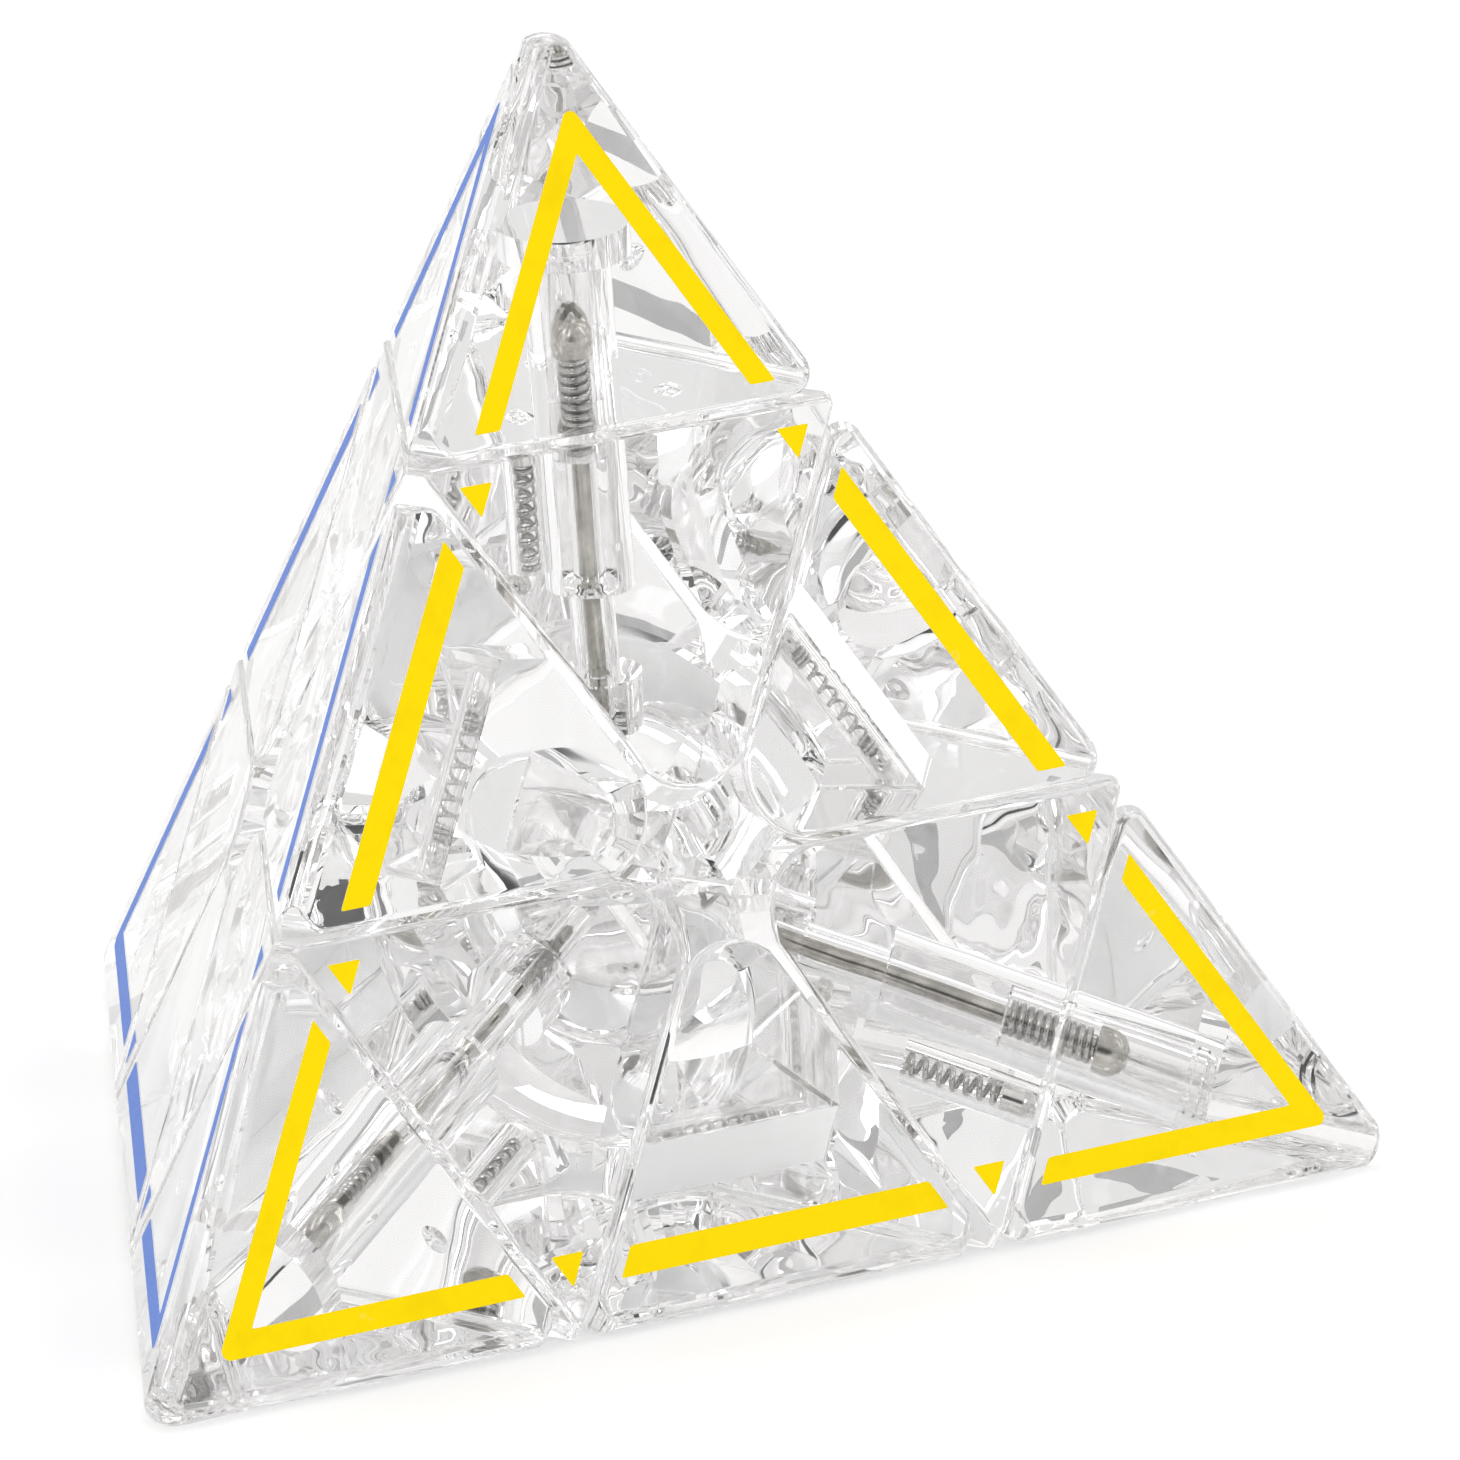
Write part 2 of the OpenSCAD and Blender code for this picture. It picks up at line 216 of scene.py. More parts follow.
def remove(made):
    old = made.data
    bpy.data.objects.remove(made)
    bpy.data.meshes.remove(old)


def placed(bm, matrix):
    """bm itself, moved by matrix."""
    bmesh.ops.transform(bm, matrix=matrix, verts=bm.verts)
    return bm


def carve(bm, steps):
    """bm after the Boolean steps (operation, solid), as a new bmesh."""
    target = loose(bm)
    helpers = []
    for operation, solid in steps:
        helper = loose(solid)
        helpers.append(helper)
        m = target.modifiers.new("carve", "BOOLEAN")
        m.operation, m.object, m.solver = operation, helper, "EXACT"
    mesh = evaluated(target)
    out = bmesh.new()
    out.from_mesh(mesh)
    bpy.data.meshes.remove(mesh)
    for o in [target] + helpers:
        remove(o)
    return out


def between(normals, steps):
    """Unit directions spread over the arc between two normals, without its ends."""
    p, q = normals
    angle = p.angle(q)
    shares = [k / steps for k in range(1, steps)]
    return [(p * math.sin(angle * (1 - s)) + q * math.sin(angle * s)).normalized() for s in shares]


def support(bm, direction):
    """How far bm reaches along a direction."""
    return max(v.co.dot(direction) for v in bm.verts)


def tangents(core, radius, normals, steps):
    """Planes that round the meetings of faces with these normals, around a core radius inside them."""
    directions = []
    for i, p in enumerate(normals):
        for q in normals[i + 1:]:
            directions += between((p, q), steps)
    if len(normals) > 2:
        middle = sum(normals, Vector()).normalized()
        directions += [n for p in normals for n in between((p, middle), steps // 2 + 1)] + [middle]
    return [(n, support(core, n) + radius) for n in directions]


def rounded(planes, radius):
    """The polyhedron behind the planes, its edges and corners rounded, as the hull of small arcs.

    Bends of less than LEAST_BEND stay as they are.
    """
    core = polyhedron([(n, d - radius) for n, d in planes])
    bm = bmesh.new()
    for v in core.verts:
        normals = [f.normal for f in v.link_faces]
        spread = list(normals)
        for e in v.link_edges:
            pair = [f.normal for f in e.link_faces]
            if pair[0].angle(pair[1]) > LEAST_BEND:
                spread += between(pair, ROUND_STEPS)
        middle = sum(normals, Vector()).normalized()
        if min(n.dot(middle) for n in normals) < math.cos(LEAST_BEND):
            spread += [middle] + [(middle + n).normalized() for n in normals]
        for n in spread:
            bm.verts.new(v.co + radius * n)
    core.free()
    bmesh.ops.remove_doubles(bm, verts=bm.verts, dist=SAME_POINT)
    hull = bmesh.ops.convex_hull(bm, input=bm.verts)
    spare = set(hull["geom_interior"]) | set(hull["geom_unused"])
    inside = [g for g in spare if isinstance(g, bmesh.types.BMVert)]
    bmesh.ops.delete(bm, geom=inside, context="VERTS")
    bmesh.ops.dissolve_limit(bm, angle_limit=FLAT_ENOUGH, verts=bm.verts, edges=bm.edges)
    bmesh.ops.recalc_face_normals(bm, faces=bm.faces)
    return bm


def finished(bm, name, sharp=SHARP):
    """The final mesh in metres: smooth across small bends, sharp across big ones, flat on flat faces."""
    bmesh.ops.scale(bm, vec=(MM, MM, MM), verts=bm.verts)
    for f in bm.faces:
        f.smooth = True
    holder = loose(bm)
    holder.data.set_sharp_from_angle(angle=sharp)
    m = holder.modifiers.new("flat faces", "WEIGHTED_NORMAL")
    m.keep_sharp, m.weight = True, FLAT_WEIGHT
    mesh = evaluated(holder)
    mesh.name = name
    remove(holder)
    return mesh


def piece(name, mesh, matrix, body, materials, replaced):
    """A copy of a finished mesh, turned into place, as a named piece on a CAD body."""
    mesh = mesh.copy()
    mesh.transform(matrix)
    made = bpy.data.objects.new(name, mesh)
    scene.collection.objects.link(made)
    for material in materials:
        mesh.materials.append(material)
    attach(made, body)
    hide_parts(*replaced)


# ---- Clear pieces ----

FACE_INSET = 0.055
# The rounding of the long edges, of their ends at the seams, of a tip's point and of the other edges
NOSE_R = 1.4
NOSE_AT = CORNER_DISTANCE / math.sqrt(3) - (math.sqrt(3) - 1) * NOSE_R - math.sqrt(3) * FACE_INSET
NOTCH_R = 1.3
POINT_R, POINT_AT = 2.37, 54.07
# Rings of planes round a tip's point: degrees from the axis, number of planes
POINT_RINGS = ((0, 1), (14, 8), (28, 12), (42, 16), (54, 18))
CENTRE_R = 4.8
EDGE_R, TIP_EDGE_R, STEM_EDGE_R = 0.45, 0.5, 0.35
# The core, and the round shell of feet that turns on it
FOOT_CUT = 4
CORE_R, CORE_GAP = 10.6, 0.2
SHELL_R = 17
ARM_START, ARM_END, ARM_R, ARM_GAP, ARM_SIDE_GAP = 2, 13.7, 3, 0.2, 0.1
# Bores on the axis: for the screw's thread and shank, the sleeve and its snap rim
SCREW_HOLE_R, SCREW_HOLE_START, SCREW_HOLE_END = 1.01, 4.2, 20
SHANK_BORE_R, SHANK_BORE_END = 1.6, 22
SLEEVE_BORE_R, SLEEVE_BORE_START, SLEEVE_BORE_END = 3.15, 19.75, 42.4
RIM_BORE_R, RIM_BORE_START, RIM_BORE_END = 4.7, 41.9, 43.95
# The click pin's bore beside the axis, and the dimples it clicks into
CLICK_OUT, CLICK_BORE_R, CLICK_BORE_START = 6.5, 1.5, 22.6
DIMPLE_R, DIMPLE_AT, DIMPLE_TURNS = 1.5, 31.7, (0, 120, 240)
# Where a bore starts or ends when it goes right through a piece
BEFORE, PAST = 20, 40
# The stem of an edge piece, its slot in the cap, and the bore for its spring
STEM_OUT, STEM_IN, STEM_HALF, STEM_GAP = 22.5, 13, 2.8, 0.05
EDGE_SPRING_OUT, EDGE_BORE_R, EDGE_BORE_HALF = 20.3, 1.1, 20
BORE_SEGMENTS, SMALL_SEGMENTS = 40, 32


def outer_planes(directions):
    return [(-d, FACE_DISTANCE - FACE_INSET) for d in directions]


def with_noses(planes, directions):
    """planes, and those that round the long edges, where outer faces meet."""
    normals = [-d for d in directions]
    core = polyhedron([(n, d - (NOSE_R if n in normals else 0)) for n, d in planes])
    made = planes + tangents(core, NOSE_R, normals, NOSE_STEPS)
    core.free()
    return made


def notch_planes(nose, side):
    """Planes that round the corner where the ridge of a nose meets a side plane (normal, distance)."""
    m, (s, side_at) = nose.normalized(), side
    cosine = m.dot(s)
    centre = Vector(((NOSE_AT - NOTCH_R), (side_at - NOTCH_R)))
    planes = []
    for n in between((m, s), NOTCH_STEPS):
        # n = a m + b s, which gives its distance from those of the two planes
        b = (n.dot(s) - n.dot(m) * cosine) / (1 - cosine * cosine)
        a = n.dot(m) - b * cosine
        planes.append((n, a * centre.x + b * centre.y + NOTCH_R))
    return planes


def point_planes(axis):
    """Planes that round the point of a tip with a ball that touches its three noses."""
    across = axis.orthogonal().normalized()
    along = axis.cross(across)
    planes = []
    for polar, count in POINT_RINGS:
        for k in range(count):
            t, a = math.radians(polar), 2 * math.pi * k / count
            n = axis * math.cos(t) + (across * math.cos(a) + along * math.sin(a)) * math.sin(t)
            planes.append((n, n.dot(axis) * POINT_AT + POINT_R))
    return planes


def centre_planes(opposite, one, two):
    """Planes that round the corner of side planes one and two at the middle of a face, leaning as they do."""
    out = -opposite
    lean = one.dot(out)
    flat_one, flat_two = flat_on(out, one), flat_on(out, two)
    piece_side = -(flat_one + flat_two).normalized()
    centre = FACE_DISTANCE * out + 2 * CENTRE_R * piece_side
    planes = []
    for u in between((flat_one, flat_two), CENTRE_STEPS):
        n = (u * math.sqrt(1 - lean * lean) + out * lean).normalized()
        planes.append((n, n.dot(centre + CENTRE_R * u)))
    return planes


def make_tip():
    top, rest = AXIS_LOCAL[0], AXIS_LOCAL[1:]
    seam = (-top, -(TIP_CUT + HALF_GAP))
    planes = with_noses(outer_planes(rest) + [seam], rest) + point_planes(top)
    for d in rest:
        planes += notch_planes(top + d, seam)
    bm = rounded(planes, TIP_EDGE_R)
    steps = [("DIFFERENCE", cylinder(SLEEVE_BORE_R, BEFORE, SLEEVE_BORE_END)),
             ("DIFFERENCE", cylinder(RIM_BORE_R, RIM_BORE_START, RIM_BORE_END))]
    for turn in DIMPLE_TURNS:
        a = math.radians(turn)
        dimple = (CLICK_OUT * math.cos(a), CLICK_OUT * math.sin(a), DIMPLE_AT)
        steps.append(("DIFFERENCE", ball(DIMPLE_R, dimple, SMALL_SEGMENTS)))
    return finished(carve(bm, steps), "tip")


def make_axial():
    top, rest = AXIS_LOCAL[0], AXIS_LOCAL[1:]
    seam, sides = (top, TIP_CUT - HALF_GAP), [(d, LAYER_CUT - HALF_GAP) for d in rest]
    planes = outer_planes(rest) + sides + [seam, (-top, -(LAYER_CUT + HALF_GAP))]
    planes = with_noses(planes, rest)
    for d, side in zip(rest, sides):
        planes += centre_planes(d, *[n for n in rest if n != d])
        planes += notch_planes(top + d, seam) + notch_planes(top + d, side)
    bm = rounded(planes, EDGE_R)
    foot = polyhedron([(d, FOOT_CUT - HALF_GAP) for d in rest] + [(-top, -(FOOT_CUT + HALF_GAP))],
                      ball(SHELL_R - HALF_GAP))
    steps = []
    for d in rest:
        room = polyhedron([(-d, -(FOOT_CUT - HALF_GAP))], ball(SHELL_R + HALF_GAP))
        steps.append(("DIFFERENCE", room))
    steps += [("UNION", foot),
              ("DIFFERENCE", ball(CORE_R + CORE_GAP)),
              ("DIFFERENCE", cylinder(ARM_R + ARM_SIDE_GAP, ARM_START, ARM_END + ARM_GAP)),
              ("DIFFERENCE", cylinder(SHANK_BORE_R, ARM_START, SHANK_BORE_END)),
              ("DIFFERENCE", cylinder(SLEEVE_BORE_R, SLEEVE_BORE_START, PAST)),
              ("DIFFERENCE", cylinder(CLICK_BORE_R, CLICK_BORE_START, PAST, (CLICK_OUT, 0), BORE_SEGMENTS))]
    return finished(carve(bm, steps), "axial")


def stem_planes(gap):
    """The four long sides of an edge piece's stem, or of its slot with the gap round it."""
    half = STEM_HALF + gap
    sides = ((1, 0, 0), STEM_OUT + gap), ((-1, 0, 0), -STEM_IN), ((0, 1, 0), half), ((0, -1, 0), half)
    return [(Vector(n), distance) for n, distance in sides]


def make_edge_cap():
    a, b, c, d = EDGE_LOCAL
    sides = [(-n, -(LAYER_CUT + HALF_GAP)) for n in (a, b)]
    planes = outer_planes((c, d)) + sides
    planes = with_noses(planes + [(n, TIP_CUT - HALF_GAP) for n in (a, b)], (c, d))
    for n in (c, d):
        planes += centre_planes(n, -a, -b)
    for side in sides:
        planes += notch_planes(a + b, side)
    steps = [("DIFFERENCE", ball(SHELL_R + HALF_GAP)), ("DIFFERENCE", polyhedron(stem_planes(STEM_GAP)))]
    return finished(carve(rounded(planes, EDGE_R), steps), "edge_cap")


def make_edge_foot():
    a, b, c, d = EDGE_LOCAL
    inner = [(-n, -(FOOT_CUT + HALF_GAP)) for n in (a, b)] + [(n, FOOT_CUT - HALF_GAP) for n in (c, d)]
    shell = polyhedron(inner, ball(SHELL_R - HALF_GAP))
    stem = stem_planes(0) + [(-n, -(LAYER_CUT + HALF_GAP)) for n in (a, b)]
    bore = cylinder(EDGE_BORE_R, -EDGE_BORE_HALF, EDGE_BORE_HALF, (EDGE_SPRING_OUT, 0), BORE_SEGMENTS)
    steps = [("DIFFERENCE", ball(CORE_R + CORE_GAP)), ("UNION", rounded(stem, STEM_EDGE_R)),
             ("DIFFERENCE", bore)]
    return finished(carve(shell, steps), "edge_foot")


def make_core():
    steps = [("UNION", placed(cylinder(ARM_R, ARM_START, ARM_END), axis_frame(c))) for c in range(4)]
    for c in range(4):
        hole = cylinder(SCREW_HOLE_R, SCREW_HOLE_START, SCREW_HOLE_END, segments=SMALL_SEGMENTS)
        steps.append(("DIFFERENCE", placed(hole, axis_frame(c))))
    return finished(carve(ball(CORE_R), steps), "core")


# ---- Turned and coiled parts ----

SHARP_ON_SLEEVE, SHARP_ON_PIN, SHARP_ON_COIL = map(math.radians, (28, 30, 60))
SPRING_SEAT, PIN_START = 28.5, 29.7


def lathe(rows, segments=48):
    """A closed solid of revolution about Z, whose ends lie on the axis.

    Each row is (z, radius) or (z, radius by angle).
    """
    bm = bmesh.new()
    rings = []
    for z, radius in rows:
        if radius == 0:
            rings.append([bm.verts.new((0, 0, z))])
            continue
        ring = []
        for k in range(segments):
            a = 2 * math.pi * k / segments
            r = radius(a) if callable(radius) else radius
            ring.append(bm.verts.new((r * math.cos(a), r * math.sin(a), z)))
        rings.append(ring)
    for low, high in zip(rings, rings[1:]):
        for k in range(segments):
            j = (k + 1) % segments
            corners = [low[k % len(low)], low[j % len(low)], high[j % len(high)], high[k % len(high)]]
            bm.faces.new(list(dict.fromkeys(corners)))
    bmesh.ops.recalc_face_normals(bm, faces=bm.faces)
    return bm


def tube_of_revolution(profile, segments=72):
    """A ring-shaped solid of revolution about Z from a closed profile of (radius, z)."""
    bm = bmesh.new()
    rings = [[bm.verts.new((r * math.cos(a), r * math.sin(a), z))
              for a in (2 * math.pi * k / segments for k in range(segments))] for r, z in profile]
    for i, ring in enumerate(rings):
        following = rings[(i + 1) % len(rings)]
        for k in range(segments):
            j = (k + 1) % segments
            bm.faces.new((ring[k], ring[j], following[j], following[k]))
    bmesh.ops.recalc_face_normals(bm, faces=bm.faces)
    return bm


# How far apart closed turns lie, in wire radii, and the part of a turn that a slope is taken over
CLOSED_PITCH = 2.06
STEP = 0.01


def coil(outer_r, wire_r, start, end, turns, closed, along=24, sides=10):
    """A round-wire compression spring about Z, with this many closed turns at each end."""
    bm = bmesh.new()
    r = outer_r - wire_r
    closed_pitch = CLOSED_PITCH * wire_r
    run = end - start - 2 * wire_r
    open_turns = turns - 2 * closed
    open_pitch = (run - 2 * closed * closed_pitch) / open_turns

    def height(t):
        first, last = min(t, closed), max(t - turns + closed, 0)
        return start + wire_r + closed_pitch * (first + last) + open_pitch * (t - first - last)

    count = int(turns * along)
    rings = []
    for i in range(count + 1):
        t = turns * i / count
        a = 2 * math.pi * t
        out = Vector((math.cos(a), math.sin(a), 0))
        centre = r * out + Vector((0, 0, height(t)))
        slope = (height(min(t + STEP, turns)) - height(max(t - STEP, 0))) / (2 * STEP)
        tangent = Vector((-math.sin(a) * 2 * math.pi * r, math.cos(a) * 2 * math.pi * r, slope)).normalized()
        side = tangent.cross(out)
        rings.append([bm.verts.new(centre + wire_r * (math.cos(b) * out + math.sin(b) * side))
                      for b in (2 * math.pi * k / sides for k in range(sides))])
    for low, high in zip(rings, rings[1:]):
        for k in range(sides):
            j = (k + 1) % sides
            bm.faces.new((low[k], low[j], high[j], high[k]))
    bm.faces.new(list(reversed(rings[0])))
    bm.faces.new(rings[-1])
    bmesh.ops.recalc_face_normals(bm, faces=bm.faces)
    return bm


SCREW_R, HEAD_R, HEAD_SEAT, HEAD_RIM, HEAD_DOME = 1, 2.35, 35.3, 0.9, 1.5
HEAD_CHAMFER, NECK_R, DOME_POWER = 0.1, 0.12, 0.9
THREAD_START, THREAD_END = 4.6, 12.4
THREAD_PITCH, THREAD_DEPTH, THREAD_LEAD_IN, THREAD_RUN_OUT = 0.6, 0.16, 1.6, 0.8
THREAD_ROW, THREAD_ROWS = 0.06, 132
POINT_SHARE = 0.35
SCREW_SEGMENTS = 40
# The cross recess: half the width and length of a wing, how they lean, and its depth and height
WING_HALF, WING_LEAN, WING_LENGTH, WING_END_LEAN, WING_DEPTH, WING_RISE = 0.33, -0.18, 1.3, -0.55, 1.2, 1


def make_screw():
    """A cross-headed screw with a cut thread where it bites into the core."""
    start = THREAD_START

    def thread(z):
        led_in = (z - start) / THREAD_LEAD_IN
        fade = min(1, led_in) * min(1, max(0, (THREAD_END - z) / THREAD_RUN_OUT))
        body = SCREW_R * min(1, POINT_SHARE + (1 - POINT_SHARE) * led_in)

        def radius(a):
            phase = (z / THREAD_PITCH - a / (2 * math.pi)) % 1
            return body - fade * THREAD_DEPTH * (1 - abs(2 * phase - 1))
        return radius
    heights = [start + THREAD_ROW * k for k in range(1, THREAD_ROWS)]
    rows = [(start, 0)] + [(z, thread(z)) for z in heights]
    rows += [(THREAD_END + 0.1, SCREW_R), (HEAD_SEAT - NECK_R, SCREW_R), (HEAD_SEAT, SCREW_R + NECK_R),
             (HEAD_SEAT, HEAD_R - HEAD_CHAMFER), (HEAD_SEAT + HEAD_CHAMFER, HEAD_R),
             (HEAD_SEAT + HEAD_RIM - HEAD_CHAMFER, HEAD_R)]
    for step in range(9):
        a = math.radians(10 * step)
        rows.append((HEAD_SEAT + HEAD_RIM + HEAD_DOME * math.sin(a), HEAD_R * math.cos(a) ** DOME_POWER))
    top = HEAD_SEAT + HEAD_RIM + HEAD_DOME
    rows.append((top, 0))
    bm = lathe(rows, SCREW_SEGMENTS)
    steps = []
    for turn in (0, 90):
        wing = polyhedron([((0, 1, WING_LEAN), WING_HALF), ((0, -1, WING_LEAN), WING_HALF),
                           ((1, 0, WING_END_LEAN), WING_LENGTH), ((-1, 0, WING_END_LEAN), WING_LENGTH),
                           ((0, 0, 1), WING_RISE), ((0, 0, -1), WING_DEPTH)])
        place = Matrix.Translation((0, 0, top)) @ Matrix.Rotation(math.radians(turn), 4, "Z")
        steps.append(("DIFFERENCE", placed(wing, place)))
    return finished(carve(bm, steps), "screw")


def make_sleeve():
    """The sleeve round an axis: a narrow bore for the shank, a wide one for spring and head, a snap rim."""
    outer, inner, wide, rim = 3.1, 1.1, 2.5, 3.45
    start, seat, end = 19.8, SPRING_SEAT, 43.8
    ease, corner, fillet = 0.2, 0.35, 0.15
    profile = [(inner, start + ease), (inner + ease, start), (outer - corner, start),
               (outer - 0.1, start + 0.1), (outer, start + corner),
               (outer, 42.2), (3.35, 42.25), (rim, 42.4), (rim, 43), (3.35, 43.15), (outer, 43.2),
               (outer, end - corner), (outer - 0.1, end - 0.1), (outer - corner, end),
               (wide + ease, end), (wide, end - ease), (wide, seat + fillet), (wide - fillet, seat),
               (inner, seat)]
    return finished(tube_of_revolution(profile), "sleeve", SHARP_ON_SLEEVE)


def make_pin():
    """The short domed pin that a tip clicks over."""
    r, start, shoulder, chamfer = 1.4, PIN_START, 31.2, 0.15
    rows = [(start, 0), (start, r - chamfer), (start + chamfer, r), (shoulder, r)]
    for a in map(math.radians, range(10, 90, 10)):
        rows.append((shoulder + r * math.sin(a), r * math.cos(a)))
    rows.append((shoulder + r, 0))
    return finished(placed(lathe(rows), Matrix.Translation((CLICK_OUT, 0, 0))), "pin", SHARP_ON_PIN)


# ---- Strips ----

# How far the back and the front of a strip lie from the outer face, along its normal
STRIP_BACK, STRIP_FRONT = -0.045, -0.005
STRIP_BEVEL = 0.012
# Faces that point outwards more than this are inked
INKED_FROM = 0.2
STRIP_MARGIN, STRIP_CORNER_R, STRIP_EASE, EASE_FROM = 1.5, 0.6, 0.22, math.radians(25)
TIP_STRIP_MARGIN, TIP_STRIP_TRIM = 1.55, 0.13
AXIAL_STRIP_MARGIN, AXIAL_STRIP_EXTRA = 1.62, 0.28
HEIGHT = FACE_DISTANCE + CORNER_DISTANCE
FACE_INRADIUS = HEIGHT * math.sqrt(1.5) / (2 * math.sqrt(3))
BAND_INNER, BAND_OUTER = FACE_INRADIUS - 5.73, FACE_INRADIUS - 3.82
TIP_LINE = (TIP_CUT - LAYER_CUT) / SLOPE
TAN30, COS30 = math.tan(math.pi / 6), math.cos(math.pi / 6)
INK_SLOT, BACK_SLOT = 0, 1


def tip_outline():
    """A V along two long edges, with a round outer corner and a sharp inner one."""
    start, corner_r, trim = TIP_LINE + TIP_STRIP_MARGIN, STRIP_CORNER_R, TIP_STRIP_TRIM
    inner, outer = 2 * (BAND_INNER + trim), 2 * (BAND_OUTER - trim)
    inner_half, outer_half = (inner - start) * TAN30, (outer - start) * TAN30
    round_at = outer - 2 * corner_r
    turn = [math.radians(a) for a in range(-60, 61, 10)]
    return ([(start, inner_half), (inner, 0), (start, -inner_half), (start, -outer_half)]
            + [(round_at + corner_r * math.cos(a), corner_r * math.sin(a)) for a in turn]
            + [(start, outer_half)])


def crossing(a, at_a, b, at_b):
    """Where the lines a . p = at_a and b . p = at_b meet."""
    det = a[0] * b[1] - a[1] * b[0]
    return ((at_a * b[1] - at_b * a[1]) / det, (a[0] * at_b - b[0] * at_a) / det)


def axial_outline(side):
    """A triangle on one side of the corner's axis, between the tip's seam and the layer's."""
    up, over, band = (1, 0), (-0.5, side * COS30), (0.5, side * COS30)
    top, inner, margin = TIP_LINE - STRIP_MARGIN, BAND_INNER - AXIAL_STRIP_EXTRA, AXIAL_STRIP_MARGIN
    return [crossing(up, top, over, -margin), crossing(up, top, band, inner),
            crossing(band, inner, over, -margin)]


def edge_outline():
    """The stretch of the band between the seams at the ends of an edge piece."""
    inner, outer = ((at / 2 - STRIP_MARGIN) / COS30 for at in (BAND_INNER, BAND_OUTER))
    return [(BAND_INNER, inner), (BAND_INNER, -inner), (BAND_OUTER, -outer), (BAND_OUTER, outer)]


def eased(points):
    """The outline with each corner that turns sharply eased by a short curve."""
    out = []
    for i, p in enumerate(map(Vector, points)):
        before, after = Vector(points[i - 1]) - p, Vector(points[(i + 1) % len(points)]) - p
        if math.pi - before.angle(after) < EASE_FROM:
            out.append(p)
            continue
        reach = min(STRIP_EASE, before.length / 3, after.length / 3)
        a, b = p + before.normalized() * reach, p + after.normalized() * reach
        out += [a * (1 - t) ** 2 + 2 * p * t * (1 - t) + b * t * t for t in (0, 0.25, 0.5, 0.75, 1)]
    return [tuple(p) for p in out]


def make_strip(name, outlines, opposite, towards):
    """A printed film strip, held just off its clear face so that the face still mirrors from within."""
    bm = bmesh.new()
    for outline in outlines:
        part = prism(eased(outline), STRIP_BACK, STRIP_FRONT)
        middle = (STRIP_BACK + STRIP_FRONT) / 2
        rim = [e for e in part.edges if all(v.co.z > middle for v in e.verts)]
        bmesh.ops.bevel(part, geom=rim, offset=STRIP_BEVEL, offset_type="OFFSET", segments=2, profile=0.5,
                        affect="EDGES", clamp_overlap=True)
        part.normal_update()
        for f in part.faces:
            f.material_index = INK_SLOT if f.normal.z > INKED_FROM else BACK_SLOT
        held = bpy.data.meshes.new("part")
        part.to_mesh(held)
        part.free()
        bm.from_mesh(held)
        bpy.data.meshes.remove(held)
    return finished(placed(bm, face_frame(opposite, towards)), name)


# ---- Materials ----


def node_material(name):
    """A new material, with its nodes, its links and its main shader."""
    m = bpy.data.materials.new(name)
    m.use_nodes = True
    return m, m.node_tree.nodes, m.node_tree.links, m.node_tree.nodes["Principled BSDF"]


def noise(nodes, links, scale, detail, roughness=0.5, stretch=None):
    """Noise on the piece's own coordinates; scale is in features per metre."""
    where = nodes.new("ShaderNodeTexCoord").outputs["Object"]
    if stretch:
        mapping = nodes.new("ShaderNodeMapping")
        mapping.inputs["Scale"].default_value = stretch
        links.new(where, mapping.inputs["Vector"])
        where = mapping.outputs["Vector"]
    n = nodes.new("ShaderNodeTexNoise")
    n.inputs["Scale"].default_value = scale
    n.inputs["Detail"].default_value = detail
    n.inputs["Roughness"].default_value = roughness
    links.new(where, n.inputs["Vector"])
    return n.outputs["Fac"]


def ramp(nodes, links, value, stops):
    """A colour from a value, by stops of (value, colour)."""
    r = nodes.new("ShaderNodeValToRGB")
    while len(r.color_ramp.elements) < len(stops):
        r.color_ramp.elements.new(0.5)
    for element, (at, colour) in zip(r.color_ramp.elements, stops):
        element.position = at
        element.color = (*colour, 1)
    links.new(value, r.inputs["Fac"])
    return r.outputs["Color"]


def spread(nodes, links, value, low, high, from_low=0.3, from_high=0.7):
    """The range of a noise stretched to run from low to high."""
    m = nodes.new("ShaderNodeMapRange")
    m.inputs["From Min"].default_value, m.inputs["From Max"].default_value = from_low, from_high
    m.inputs["To Min"].default_value, m.inputs["To Max"].default_value = low, high
    links.new(value, m.inputs["Value"])
    return m.outputs["Result"]


def bump(nodes, links, height, distance, strength, onto):
    """Relief from a height, its distance in metres, put on the Normal input onto."""
    b = nodes.new("ShaderNodeBump")
    b.inputs["Strength"].default_value = strength
    b.inputs["Distance"].default_value = distance
    links.new(height, b.inputs["Height"])
    links.new(b.outputs["Normal"], onto)


def clear_plastic():
    """Polished clear plastic with faint moulding waves and fine scratches, which lamps shine through."""
    m, nodes, links, p = node_material("clear_plastic")
    p.inputs["Base Color"].default_value = (0.955, 0.953, 0.953, 1)
    p.inputs["Transmission Weight"].default_value = 1
    p.inputs["IOR"].default_value = 1.49
    scratches = noise(nodes, links, scale=60, detail=2, stretch=(1, 1, 40))
    rough = spread(nodes, links, scratches, low=0, high=0.03, from_low=0.58, from_high=0.75)
    links.new(rough, p.inputs["Roughness"])
    waves = noise(nodes, links, scale=130, detail=1, roughness=0.4)
    bump(nodes, links, waves, distance=0.001, strength=0.12, onto=p.inputs["Normal"])
    out = next(n for n in nodes if n.type == "OUTPUT_MATERIAL")
    mix = nodes.new("ShaderNodeMixShader")
    through = nodes.new("ShaderNodeBsdfTransparent")
    through.inputs["Color"].default_value = (0.94, 0.94, 0.94, 1)
    path = nodes.new("ShaderNodeLightPath")
    links.new(path.outputs["Is Shadow Ray"], mix.inputs["Fac"])
    links.new(p.outputs["BSDF"], mix.inputs[1])
    links.new(through.outputs["BSDF"], mix.inputs[2])
    links.new(mix.outputs["Shader"], out.inputs["Surface"])
    return m


